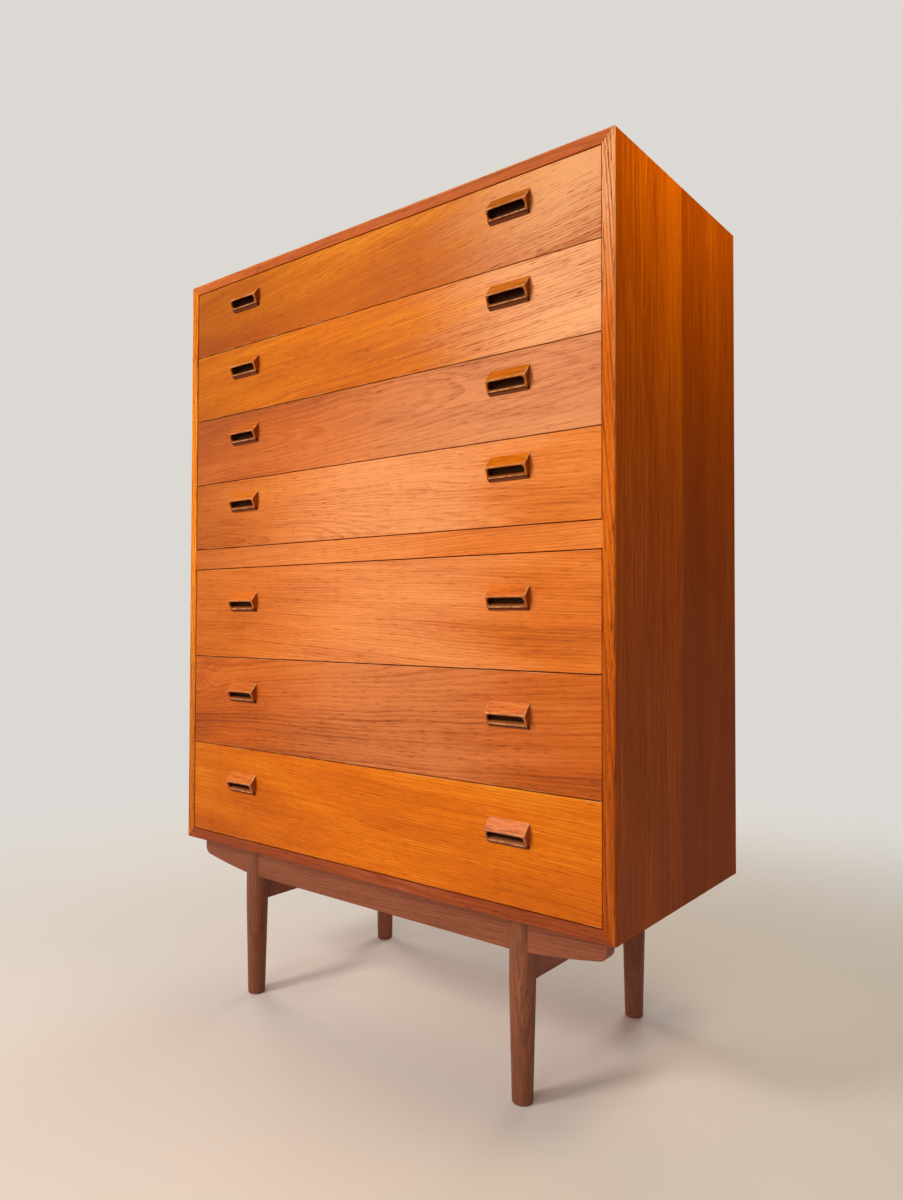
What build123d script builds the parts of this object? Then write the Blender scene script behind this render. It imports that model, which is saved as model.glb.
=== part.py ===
from build123d import *
import math
import os

# Tall chest of seven drawers on a turned-leg base.
# Millimetres, +Z up, origin on the floor under the centre of the overall box, front towards -Y.

# Case
CASE_WIDTH = 900.0
CASE_DEPTH = 414.0
BOARD = 18.0
OUTER_EDGE_ROUND = 2.5
INNER_EDGE_ROUND = 0.6
BACK_PANEL = 6.0
BACK_INSET = 3.0
REBATE_WIDTH = 9.0
PANEL_CLEARANCE = 0.5

# Drawer fronts and the fixed rail between the two banks of drawers
UPPER_COUNT = 4
LOWER_COUNT = 3
UPPER_FRONT_HEIGHT = 120.0
LOWER_FRONT_HEIGHT = 160.0
MIDDLE_RAIL_HEIGHT = 36.5
MIDDLE_RAIL_TENON = 8.0
MIDDLE_RAIL_SHOULDER = 5.0
FRONT_THICKNESS = 20.0
FRONT_GAP = 1.5
FRONT_RECESS = 1.0
FRONT_EDGE_ROUND = 0.8

# Drawer boxes
SIDE_THICKNESS = 14.0
SIDE_TOP_DROP = 10.0
SIDE_BOTTOM_RISE = 4.0
DRAWER_BACK = 12.0
DRAWER_BACK_INSET = 12.0
DRAWER_BACK_DROP = 6.0
BACK_HOUSING = 4.0
BOTTOM_PANEL = 4.0
BOTTOM_RISE = 8.0
BOTTOM_GROOVE = 5.0
REAR_CLEARANCE = 10.0
TAIL_LENGTH = 13.0
UPPER_TAILS = 3
LOWER_TAILS = 4
TAIL_SLOPE = 1.0 / 6.0
PIN_WIDTH = 6.0
BOX_EDGE_ROUND = 1.5

# Runners that carry the drawers by grooves in their sides
RUNNER_HEIGHT = 16.0
RUNNER_THICKNESS = 8.0
RUNNER_SEAT_GAP = 0.3
RUNNER_SIDE_GAP = 0.5
RUNNER_FRONT_GAP = 0.5
RUNNER_REAR_GAP = 20.0
RUNNER_SCREW_MARGIN = 45.0

# Handles: a wedge with a sloping top, a ridge and a finger slot in its lower face
HANDLE_WIDTH = 68.0
HANDLE_HEIGHT = 35.5
HANDLE_REACH = 13.0
HANDLE_RIDGE_DROP = 16.0
HANDLE_LIP = 6.7
HANDLE_LIP_RISE = 3.1
HANDLE_TOE = 2.0
HANDLE_EDGE_ROUND = 2.0
HANDLE_END_ROUND = 2.0
HANDLE_INSET = 163.0
UPPER_HANDLE_DROP = 22.0
LOWER_HANDLE_DROP = 42.5
SLOT_END_WALL = 2.8
SLOT_RIDGE_WALL = 2.2
SLOT_LIP_WALL = 2.0
SLOT_BACK_WALL = 1.5
HANDLE_HOUSING = 2.0
SLOT_CORNER = 6.5
SLOT_RISE_DEG = 40.0
PEG_DIAMETER = 8.0
PEG_LENGTH = 12.0
PEG_SPACING = 36.0
PEG_CLEARANCE = 0.1

# Base
BASE_HEIGHT = 260.0
LEG_DIAMETER = 38.0
FOOT_DIAMETER = 30.0
FOOT_ROUND = 3.0
LEG_INSET = 162.5
FRONT_LEG_SETBACK = 34.5
REAR_LEG_SETBACK = 39.5
CROSS_RAIL_HEIGHT = 50.0
CROSS_RAIL_THICKNESS = 22.0
FRONT_WING_SETBACK = 24.0
REAR_WING_SETBACK = 48.0
WING_END_HEIGHT = 31.0
WING_BOW = 2.0
WING_CORNER = 15.0
SIDE_RAIL_HEIGHT = 95.0
SIDE_RAIL_THICKNESS = 20.0
SIDE_RAIL_HOUSING_WALL = 3.0
RAIL_EDGE_ROUND = 2.5

# Countersunk wood screws: shank diameter, head diameter, head height
RUNNER_SCREW = (4.0, 8.0, 2.4)
RUNNER_SCREW_BITE = 12.0
BASE_SCREW = (5.0, 10.0, 3.0)
BASE_SCREW_BITE = 13.0
BASE_SCREW_WOOD = 24.0
BASE_SCREW_TO_LEG = 57.5
BACK_SCREW = (3.0, 6.0, 1.8)
BACK_SCREW_BITE = 14.0
BACK_SCREW_MARGIN = 60.0
BACK_SCREW_PITCH = 200.0
SCREW_CLEARANCE = 0.1

# Places closer than this are the same place, and a rounded corner takes at most this share of its wall
TOUCH = 1e-6
CORNER_SHARE = 0.45

# Derived heights, from the floor up
FRONT_HEIGHTS = [UPPER_FRONT_HEIGHT] * UPPER_COUNT + [LOWER_FRONT_HEIGHT] * LOWER_COUNT
GAP_COUNT = len(FRONT_HEIGHTS) + 2
CASE_HEIGHT = 2 * BOARD + sum(FRONT_HEIGHTS) + MIDDLE_RAIL_HEIGHT + GAP_COUNT * FRONT_GAP
CASE_BOTTOM = BASE_HEIGHT
CASE_TOP = CASE_BOTTOM + CASE_HEIGHT

# Derived widths and depths
HALF_WIDTH = CASE_WIDTH / 2
HALF_OPENING = HALF_WIDTH - BOARD
HALF_FRONT = HALF_OPENING - FRONT_GAP
HANDLE_AHEAD = HANDLE_REACH - FRONT_RECESS
CASE_FRONT = (HANDLE_AHEAD - CASE_DEPTH) / 2
CASE_BACK = CASE_FRONT + CASE_DEPTH
PANEL_BACK = CASE_BACK - BACK_INSET
PANEL_FRONT = PANEL_BACK - BACK_PANEL
FACE = CASE_FRONT + FRONT_RECESS
FRONT_BACK = FACE + FRONT_THICKNESS
DRAWER_END = PANEL_FRONT - REAR_CLEARANCE
RUNNER_FRONT = FRONT_BACK + RUNNER_FRONT_GAP
RUNNER_END = PANEL_FRONT - RUNNER_REAR_GAP
FRONT_LEG_Y = CASE_FRONT + FRONT_LEG_SETBACK
REAR_LEG_Y = CASE_BACK - REAR_LEG_SETBACK
LEG_X = HALF_WIDTH - LEG_INSET


def block(x, y, z):
    """A box between the low and high values given for each axis."""
    size = [high - low for low, high in (x, y, z)]
    centre = [(low + high) / 2 for low, high in (x, y, z)]
    return Pos(*centre) * Box(*size)


def prism(plane, points, start, end):
    """A straight prism on a plane's outline, between two distances along the plane's normal."""
    outline = Face(Wire.make_polygon([plane.from_local_coords(Vector(*p, start)) for p in points]))
    return Solid.extrude(outline, plane.z_dir * (end - start))


def mirrored(shape):
    """The same piece on the other side of the chest."""
    return mirror(shape, about=Plane.YZ)


def save(name, shapes):
    """Write one node, whether it is a single solid or a group of separate solids."""
    solids = []
    for shape in shapes:
        solids.extend(shape.solids())
    node = solids[0] if len(solids) == 1 else Compound(children=solids)
    export_step(node, f"parts/{name}.step")


# Drawers from the top down, with the fixed rail between the two banks


class Drawer:
    """Places of one drawer, worked out from the top edge of its front."""

    def __init__(self, number, top, height, handle_drop, tail_count):
        self.name = f"drawer_{number}"
        self.top = top
        self.bottom = top - height
        self.handle_top = top - handle_drop
        self.tail_count = tail_count
        self.side_top = top - SIDE_TOP_DROP
        self.side_bottom = self.bottom + SIDE_BOTTOM_RISE
        self.panel_bottom = self.side_bottom + BOTTOM_RISE
        self.panel_top = self.panel_bottom + BOTTOM_PANEL
        self.groove_middle = (self.side_top + self.side_bottom) / 2
        self.groove_top = self.groove_middle + RUNNER_HEIGHT / 2 + RUNNER_SEAT_GAP
        self.groove_bottom = self.groove_middle - RUNNER_HEIGHT / 2 - RUNNER_SEAT_GAP


def stack_drawers():
    """All drawers, and the top edge of the fixed rail."""
    drawers = []
    rail_top = 0.0
    level = CASE_TOP - BOARD - FRONT_GAP
    for index, height in enumerate(FRONT_HEIGHTS):
        if index == UPPER_COUNT:
            rail_top = level
            level -= MIDDLE_RAIL_HEIGHT + FRONT_GAP
        upper = index < UPPER_COUNT
        drop = UPPER_HANDLE_DROP if upper else LOWER_HANDLE_DROP
        drawers.append(Drawer(index + 1, level, height, drop, UPPER_TAILS if upper else LOWER_TAILS))
        level -= height + FRONT_GAP
    return drawers, rail_top


# Screws


def screw(size, length, grow=0.0):
    """A countersunk screw along -Z, its flat head at the origin; grow widens it to make its hole."""
    shank, head, head_height = size
    shaft = Pos(0, 0, -length / 2) * Cylinder(shank / 2 + grow, length)
    cone = Pos(0, 0, -head_height / 2) * Cone(shank / 2 + grow, head / 2 + grow, head_height)
    return shaft + cone


def placed_screws(places, size, length, grow=0.0):
    """The same screw at each place."""
    return [place * screw(size, length, grow) for place in places]


def runner_screw_places(drawers):
    """Right-hand runner screws, heads flush with the runner and pointing into the case side."""
    head_x = HALF_OPENING - RUNNER_THICKNESS
    rows = (RUNNER_FRONT + RUNNER_SCREW_MARGIN, RUNNER_END - RUNNER_SCREW_MARGIN)
    return [Pos(head_x, y, d.groove_middle) * Rot(0, -90, 0) for d in drawers for y in rows]


def base_screw_places(rows=(FRONT_LEG_Y, REAR_LEG_Y)):
    """Screws up through the cross rails into the case bottom, in one row or both."""
    outer = LEG_X - BASE_SCREW_TO_LEG
    columns = (-outer, 0.0, outer)
    head_z = CASE_BOTTOM - BASE_SCREW_WOOD
    return [Pos(x, y, head_z) * Rot(180, 0, 0) for x in columns for y in rows]


def spread(low, high, pitch):
    """Evenly spaced values from low to high, about one pitch apart."""
    count = max(2, round((high - low) / pitch) + 1)
    return [low + (high - low) * i / (count - 1) for i in range(count)]


def back_screw_places():
    """Screws round the rim of the back panel, in the middle of the rebate."""
    side_x = HALF_OPENING + REBATE_WIDTH / 2
    high_z = CASE_TOP - BOARD + REBATE_WIDTH / 2
    low_z = CASE_BOTTOM + BOARD - REBATE_WIDTH / 2
    places = []
    for z in spread(low_z + BACK_SCREW_MARGIN, high_z - BACK_SCREW_MARGIN, BACK_SCREW_PITCH):
        places += [(-side_x, z), (side_x, z)]
    for x in spread(-side_x + BACK_SCREW_MARGIN, side_x - BACK_SCREW_MARGIN, BACK_SCREW_PITCH):
        places += [(x, low_z), (x, high_z)]
    return [Pos(x, PANEL_BACK, z) * Rot(-90, 0, 0) for x, z in places]


# Case boards


def rebate():
    """The space that the back panel's rebate takes out of the four case boards."""
    reach = HALF_OPENING + REBATE_WIDTH
    low = CASE_BOTTOM + BOARD - REBATE_WIDTH
    high = CASE_TOP - BOARD + REBATE_WIDTH
    return block((-reach, reach), (PANEL_FRONT, CASE_BACK), (low, high))


def eased(board, outer, inner):
    """Round a case board's two long front edges, the outer one more than the inner one."""
    for lies_on, radius in ((outer, OUTER_EDGE_ROUND), (inner, INNER_EDGE_ROUND)):
        def is_front_edge(edge):
            return abs(edge.center().Y - CASE_FRONT) < TOUCH and lies_on(edge.center())
        board = fillet(board.edges().filter_by(is_front_edge), radius)
    return board


def side_board(drawers, rail_top):
    """Right case side with mitred ends, the rail mortise and the holes of its screws."""
    outline = [
        (HALF_WIDTH, CASE_BOTTOM),
        (HALF_WIDTH, CASE_TOP),
        (HALF_OPENING, CASE_TOP - BOARD),
        (HALF_OPENING, CASE_BOTTOM + BOARD),
    ]
    board = prism(Plane.XZ, outline, -CASE_FRONT, -CASE_BACK)
    board = eased(board, lambda c: abs(c.X - HALF_WIDTH) < TOUCH, lambda c: abs(c.X - HALF_OPENING) < TOUCH)
    holes = placed_screws(runner_screw_places(drawers), RUNNER_SCREW, runner_screw_length(), SCREW_CLEARANCE)
    holes += placed_screws(back_screw_places(), BACK_SCREW, back_screw_length(), SCREW_CLEARANCE)
    return board - rebate() - middle_rail(rail_top) - holes


def level_board(top):
    """Top or bottom case board with mitred ends."""
    outer = CASE_TOP if top else CASE_BOTTOM
    inner = CASE_TOP - BOARD if top else CASE_BOTTOM + BOARD
    outline = [(-HALF_WIDTH, outer), (HALF_WIDTH, outer), (HALF_OPENING, inner), (-HALF_OPENING, inner)]
    board = prism(Plane.XZ, outline, -CASE_FRONT, -CASE_BACK)
    board = eased(board, lambda c: abs(c.Z - outer) < TOUCH, lambda c: abs(c.Z - inner) < TOUCH)
    holes = placed_screws(back_screw_places(), BACK_SCREW, back_screw_length(), SCREW_CLEARANCE)
    if not top:
        holes += placed_screws(base_screw_places(), BASE_SCREW, base_screw_length(), SCREW_CLEARANCE)
    return board - rebate() - holes


def back_panel():
    """Thin panel in the rebate, with a little room round its edges."""
    reach = HALF_OPENING + REBATE_WIDTH - PANEL_CLEARANCE
    low = CASE_BOTTOM + BOARD - REBATE_WIDTH + PANEL_CLEARANCE
    high = CASE_TOP - BOARD + REBATE_WIDTH - PANEL_CLEARANCE
    panel = block((-reach, reach), (PANEL_FRONT, PANEL_BACK), (low, high))
    return panel - placed_screws(back_screw_places(), BACK_SCREW, back_screw_length(), SCREW_CLEARANCE)


def middle_rail(rail_top):
    """Fixed rail between the two banks of drawers, with a stub tenon in each case side."""
    low = rail_top - MIDDLE_RAIL_HEIGHT
    rail = block((-HALF_OPENING, HALF_OPENING), (FACE, FRONT_BACK), (low, rail_top))
    face_edges = rail.edges().filter_by(Axis.X).group_by(Axis.Y)[0]
    rail = fillet(face_edges, FRONT_EDGE_ROUND)
    tenon_x = HALF_OPENING + MIDDLE_RAIL_TENON
    tenon_y = (FACE + MIDDLE_RAIL_SHOULDER, FRONT_BACK - MIDDLE_RAIL_SHOULDER)
    tenon_z = (low + MIDDLE_RAIL_SHOULDER, rail_top - MIDDLE_RAIL_SHOULDER)
    return rail + block((-tenon_x, tenon_x), tenon_y, tenon_z)


def runner(drawer):
    """Right-hand hardwood strip that one drawer hangs on."""
    half = RUNNER_HEIGHT / 2
    x = (HALF_OPENING - RUNNER_THICKNESS, HALF_OPENING)
    z = (drawer.groove_middle - half, drawer.groove_middle + half)
    strip = block(x, (RUNNER_FRONT, RUNNER_END), z)
    holes = placed_screws(runner_screw_places([drawer]), RUNNER_SCREW, runner_screw_length(), SCREW_CLEARANCE)
    return strip - holes


def runner_screw_length():
    """From the runner's face to the screw's tip in the case side."""
    return RUNNER_THICKNESS + RUNNER_SCREW_BITE


def base_screw_length():
    """From the screw's seat in the cross rail to its tip in the case bottom."""
    return BASE_SCREW_WOOD + BASE_SCREW_BITE


def back_screw_length():
    """From the back panel's face to the screw's tip in a case board."""
    return BACK_PANEL + BACK_SCREW_BITE


# Drawer pieces


def tails(drawer):
    """Dovetail tails on the front end of the right drawer side."""
    pitch = (drawer.side_top - drawer.side_bottom) / drawer.tail_count
    wide = (pitch - PIN_WIDTH) / 2
    narrow = wide - TAIL_LENGTH * TAIL_SLOPE
    x = (HALF_FRONT - SIDE_THICKNESS, HALF_FRONT)
    pieces = []
    for i in range(drawer.tail_count):
        middle = drawer.side_bottom + (i + 0.5) * pitch
        tip = FRONT_BACK - TAIL_LENGTH
        outline = [
            (FRONT_BACK, middle - narrow),
            (FRONT_BACK, middle + narrow),
            (tip, middle + wide),
            (tip, middle - wide),
        ]
        pieces.append(prism(Plane.YZ, outline, *x))
    return pieces


def drawer_side(drawer):
    """Right drawer side: tails in front, runner groove outside, bottom groove and back housing inside."""
    outer = HALF_FRONT
    inner = HALF_FRONT - SIDE_THICKNESS
    board = block((inner, outer), (FRONT_BACK, DRAWER_END), (drawer.side_bottom, drawer.side_top))
    board = fillet(board.edges().filter_by(Axis.Y).group_by(Axis.Z)[-1], BOX_EDGE_ROUND)
    groove_x = HALF_OPENING - RUNNER_THICKNESS - RUNNER_SIDE_GAP
    runner_groove = block(
        (groove_x, outer), (FRONT_BACK, DRAWER_END), (drawer.groove_bottom, drawer.groove_top))
    bottom_groove = block(
        (inner, inner + BOTTOM_GROOVE),
        (FRONT_BACK - BOTTOM_GROOVE, DRAWER_END),
        (drawer.panel_bottom, drawer.panel_top))
    return board - runner_groove - drawer_back(drawer) + tails(drawer) - bottom_groove


def drawer_back(drawer):
    """Back board, housed in both sides and standing on the bottom panel."""
    reach = HALF_FRONT - SIDE_THICKNESS + BACK_HOUSING
    rear = DRAWER_END - DRAWER_BACK_INSET
    top = drawer.side_top - DRAWER_BACK_DROP
    board = block((-reach, reach), (rear - DRAWER_BACK, rear), (drawer.panel_top, top))
    return fillet(board.edges().filter_by(Axis.X).group_by(Axis.Z)[-1], BOX_EDGE_ROUND)


def drawer_bottom(drawer):
    """Thin panel in grooves on three sides, running out under the back board."""
    reach = HALF_FRONT - SIDE_THICKNESS + BOTTOM_GROOVE - PANEL_CLEARANCE
    front = FRONT_BACK - BOTTOM_GROOVE + PANEL_CLEARANCE
    rear = DRAWER_END - DRAWER_BACK_INSET
    return block((-reach, reach), (front, rear), (drawer.panel_bottom, drawer.panel_top))


def drawer_front(drawer):
    """Solid front with sockets for the tails, a groove for the bottom and housings for the handles."""
    board = block((-HALF_FRONT, HALF_FRONT), (FACE, FRONT_BACK), (drawer.bottom, drawer.top))
    board = fillet(board.edges().group_by(Axis.Y)[0], FRONT_EDGE_ROUND)
    reach = HALF_FRONT - SIDE_THICKNESS + BOTTOM_GROOVE
    groove = block(
        (-reach, reach), (FRONT_BACK - BOTTOM_GROOVE, FRONT_BACK), (drawer.panel_bottom, drawer.panel_top))
    sockets = tails(drawer)
    sockets += [mirrored(tail) for tail in tails(drawer)]
    housing = handle_root(drawer, PEG_CLEARANCE)
    return board - groove - sockets - housing - mirrored(housing)


# Handles


def handle_root(drawer, grow=0.0):
    """Shallow block and two pegs behind the right handle, let into the drawer front; grow makes the holes."""
    middle = HALF_WIDTH - HANDLE_INSET
    half = HANDLE_WIDTH / 2 - HANDLE_END_ROUND
    top = drawer.handle_top
    root = block(
        (middle - half, middle + half),
        (FACE, FACE + HANDLE_HOUSING),
        (top - HANDLE_HEIGHT + HANDLE_END_ROUND, top - HANDLE_END_ROUND))
    length = PEG_LENGTH + grow
    for side in (-1, 1):
        x = middle + side * PEG_SPACING / 2
        turned = Pos(x, FACE + length / 2, top - HANDLE_HEIGHT / 2) * Rot(90, 0, 0)
        root += turned * Cylinder(PEG_DIAMETER / 2 + grow, length)
    return root


def handle_profile(drawer):
    """Outline of the wedge on the YZ plane: top edge, ridge, lip, toe and back."""
    top = drawer.handle_top
    bottom = top - HANDLE_HEIGHT
    ridge = (FACE - HANDLE_REACH, top - HANDLE_RIDGE_DROP)
    lip = (FACE - HANDLE_LIP, bottom + HANDLE_LIP_RISE)
    return [(FACE, top), ridge, lip, (FACE - HANDLE_TOE, bottom), (FACE, bottom)]


def finger_slot(drawer):
    """Slot that rises into the handle from its lower face and stops short of its back."""
    _, ridge, lip, *_ = handle_profile(drawer)
    run = math.hypot(ridge[0] - lip[0], ridge[1] - lip[1])
    down = ((lip[0] - ridge[0]) / run, (lip[1] - ridge[1]) / run)
    mouth = run - SLOT_RIDGE_WALL - SLOT_LIP_WALL
    offset = SLOT_RIDGE_WALL + mouth / 2
    centre_y = ridge[0] + down[0] * offset
    centre_z = ridge[1] + down[1] * offset
    rise = math.radians(SLOT_RISE_DEG)
    inward = Vector(0, math.cos(rise), math.sin(rise))
    lean = abs(down[0] * math.sin(rise) - down[1] * math.cos(rise))
    middle = Vector(HALF_WIDTH - HANDLE_INSET, centre_y, centre_z)
    plane = Plane(origin=middle - inward * HANDLE_HEIGHT, x_dir=(1, 0, 0), z_dir=inward)
    width = HANDLE_WIDTH - 2 * SLOT_END_WALL
    height = mouth * lean
    corner = min(SLOT_CORNER, CORNER_SHARE * height)
    cutter = extrude(plane * RectangleRounded(width, height, corner), 2 * HANDLE_HEIGHT)
    x = (middle.X - HANDLE_WIDTH, middle.X + HANDLE_WIDTH)
    keep = block(
        x,
        (FACE - 2 * HANDLE_REACH, FACE + HANDLE_HOUSING - SLOT_BACK_WALL),
        (drawer.handle_top - 2 * HANDLE_HEIGHT, drawer.handle_top + HANDLE_HEIGHT))
    return cutter & keep


def handle(drawer):
    """Right-hand handle with softened edges, its root in the drawer front and its finger slot."""
    middle = HALF_WIDTH - HANDLE_INSET
    x = (middle - HANDLE_WIDTH / 2, middle + HANDLE_WIDTH / 2)
    wedge = prism(Plane.YZ, handle_profile(drawer), *x)

    def runs_along(edge):
        return edge.center().Y < FACE - TOUCH and abs(edge.center().X - middle) < TOUCH

    def closes_end(edge):
        return edge.center().Y < FACE - TOUCH and abs(edge.center().X - middle) > TOUCH

    wedge = fillet(wedge.edges().filter_by(runs_along), HANDLE_EDGE_ROUND)
    wedge = fillet(wedge.edges().filter_by(closes_end), HANDLE_END_ROUND)
    return wedge + handle_root(drawer) - finger_slot(drawer)


# Base


def leg(x, y):
    """Turned leg: straight where the rails join it, tapering below, cut to fit over both rails."""
    straight = BASE_HEIGHT - SIDE_RAIL_HEIGHT
    radius = LEG_DIAMETER / 2
    foot = FOOT_DIAMETER / 2
    outline = [(0, 0), (foot, 0), (radius, straight), (radius, BASE_HEIGHT), (0, BASE_HEIGHT)]
    face = Face(Wire.make_polygon([Vector(r, 0, z) for r, z in outline]))
    turned = revolve(face, Axis.Z)

    def is_foot(edge):
        return edge.geom_type == GeomType.CIRCLE and edge.center().Z < TOUCH

    turned = fillet(turned.edges().filter_by(is_foot), FOOT_ROUND)
    turned = Pos(x, y, 0) * turned
    return turned - cross_rail(y) - side_rail(x)


def cross_rail(y):
    """Front or rear rail that runs through both leg slots and ends in two tapering wings."""
    end = HALF_WIDTH - (FRONT_WING_SETBACK if y < 0 else REAR_WING_SETBACK)
    top = CASE_BOTTOM
    low = CASE_BOTTOM - CROSS_RAIL_HEIGHT
    tip = CASE_BOTTOM - WING_END_HEIGHT
    middle_x = (LEG_X + end) / 2
    middle_z = (low + tip) / 2 - WING_BOW
    plane = Plane.XZ.offset(-y - CROSS_RAIL_THICKNESS / 2)

    def at(px, pz):
        return plane.from_local_coords(Vector(px, pz, 0))

    edges = [
        Edge.make_line(at(0, top), at(end, top)),
        Edge.make_line(at(end, top), at(end, tip)),
        Edge.make_three_point_arc(at(end, tip), at(middle_x, middle_z), at(LEG_X, low)),
        Edge.make_line(at(LEG_X, low), at(0, low)),
        Edge.make_line(at(0, low), at(0, top)),
    ]
    half = Solid.extrude(Face(Wire(edges)), plane.z_dir * CROSS_RAIL_THICKNESS)

    def is_tip(edge):
        centre = edge.center()
        return abs(centre.X - end) < TOUCH and abs(centre.Z - tip) < TOUCH

    half = fillet(half.edges().filter_by(is_tip), WING_CORNER)

    def is_low_edge(edge):
        centre = edge.center()
        on_a_face = abs(abs(centre.Y - y) - CROSS_RAIL_THICKNESS / 2) < TOUCH
        return on_a_face and centre.X > TOUCH and centre.Z < top - TOUCH

    half = fillet(half.edges().filter_by(is_low_edge), RAIL_EDGE_ROUND)
    rail = half + mirrored(half)
    places = base_screw_places([y])
    head = BASE_SCREW[1] / 2 + SCREW_CLEARANCE
    depth = CROSS_RAIL_HEIGHT - BASE_SCREW_WOOD
    pockets = [place * Pos(0, 0, depth / 2) * Cylinder(head, depth) for place in places]
    return rail - pockets - placed_screws(places, BASE_SCREW, base_screw_length(), SCREW_CLEARANCE)


def side_rail(x):
    """Deep rail from the front leg to the rear leg, housed in both."""
    reach = CROSS_RAIL_THICKNESS / 2 + SIDE_RAIL_HOUSING_WALL
    half = SIDE_RAIL_THICKNESS / 2
    y = (FRONT_LEG_Y + reach, REAR_LEG_Y - reach)
    rail = block((x - half, x + half), y, (BASE_HEIGHT - SIDE_RAIL_HEIGHT, BASE_HEIGHT))
    return fillet(rail.edges().filter_by(Axis.Y).group_by(Axis.Z)[0], RAIL_EDGE_ROUND)


# Write every node

os.makedirs("parts", exist_ok=True)
drawers, rail_top = stack_drawers()

right_side = side_board(drawers, rail_top)
save("right_side_panel", [right_side])
save("left_side_panel", [mirrored(right_side)])
save("top_panel", [level_board(top=True)])
save("bottom_panel", [level_board(top=False)])
save("back_panel", [back_panel()])
save("middle_rail", [middle_rail(rail_top)])

right_runners = [runner(d) for d in drawers]
save("drawer_runners", right_runners + [mirrored(strip) for strip in right_runners])

for d in drawers:
    right = drawer_side(d)
    grip = handle(d)
    save(f"{d.name}_front", [drawer_front(d)])
    save(f"{d.name}_right_side", [right])
    save(f"{d.name}_left_side", [mirrored(right)])
    save(f"{d.name}_back", [drawer_back(d)])
    save(f"{d.name}_bottom", [drawer_bottom(d)])
    save(f"{d.name}_handles", [grip, mirrored(grip)])

for end_name, leg_y in (("front", FRONT_LEG_Y), ("rear", REAR_LEG_Y)):
    save(f"{end_name}_rail", [cross_rail(leg_y)])
    for side_name, leg_x in (("left", -LEG_X), ("right", LEG_X)):
        save(f"{end_name}_{side_name}_leg", [leg(leg_x, leg_y)])
for side_name, leg_x in (("left", -LEG_X), ("right", LEG_X)):
    save(f"{side_name}_side_rail", [side_rail(leg_x)])

right_screws = placed_screws(runner_screw_places(drawers), RUNNER_SCREW, runner_screw_length())
save("runner_screws", right_screws + [mirrored(s) for s in right_screws])
save("base_screws", placed_screws(base_screw_places(), BASE_SCREW, base_screw_length()))
save("back_panel_screws", placed_screws(back_screw_places(), BACK_SCREW, back_screw_length()))
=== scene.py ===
import logging
import math
from dataclasses import dataclass, replace
from enum import Enum
from typing import Iterable, Optional, Union

import bpy
from mathutils import Matrix, Vector


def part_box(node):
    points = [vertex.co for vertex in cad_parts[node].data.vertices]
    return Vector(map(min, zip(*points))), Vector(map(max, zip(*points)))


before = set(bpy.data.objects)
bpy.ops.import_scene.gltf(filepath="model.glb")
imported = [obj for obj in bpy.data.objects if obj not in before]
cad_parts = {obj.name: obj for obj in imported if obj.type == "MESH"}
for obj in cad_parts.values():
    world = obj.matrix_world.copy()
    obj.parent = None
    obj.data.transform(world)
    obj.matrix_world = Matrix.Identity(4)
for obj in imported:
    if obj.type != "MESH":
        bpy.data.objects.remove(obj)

LOG = logging.getLogger("chest")
MM = 0.001
# Pale worn teak; on the handles and the case's front edges it also paints highlights on the arrises.
WORN_AND_HIGHLIT_TEAK = "#F4BC84"
# Pale colour of painted sheen: the lamps' reflection painted into the wood's colour.
PAINTED_SHEEN_TEAK = "#F2B482"
FULL_CHANNEL = 255
MIX_FIRST, MIX_SECOND, MIX_RESULT = 6, 7, 2

Socket = bpy.types.NodeSocket
Feed = Union[float, tuple, Socket]
Span = tuple[float, float]
Line = tuple[float, float]
Place = tuple[float, float, float]


def linear(code: str) -> tuple[float, float, float, float]:
    """Turn a colour as a designer writes it into amounts of light.

    Args:
        code: Six hexadecimal digits after a hash sign.

    Returns:
        Red, green, blue and a full alpha, linear.
    """
    channels = [int(code[i:i + 2], 16) / FULL_CHANNEL for i in (1, 3, 5)]
    straight = [c / 12.92 if c <= 0.04045 else ((c + 0.055) / 1.055) ** 2.4 for c in channels]
    return (*straight, 1.0)


class Grain(Enum):
    """The way the fibres of a board run: the names of its along, across and through axes."""

    SIDEWAYS = ("X", "Z", "Y")
    UPRIGHT = ("Z", "Y", "X")
    UPRIGHT_FACING = ("Z", "X", "Y")
    BACKWARDS = ("Y", "Z", "X")
    SIDEWAYS_FLAT = ("X", "Y", "Z")


class Blend(Enum):
    """The way one colour is laid over another."""

    COVER = "MIX"
    STAIN = "MULTIPLY"


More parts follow.
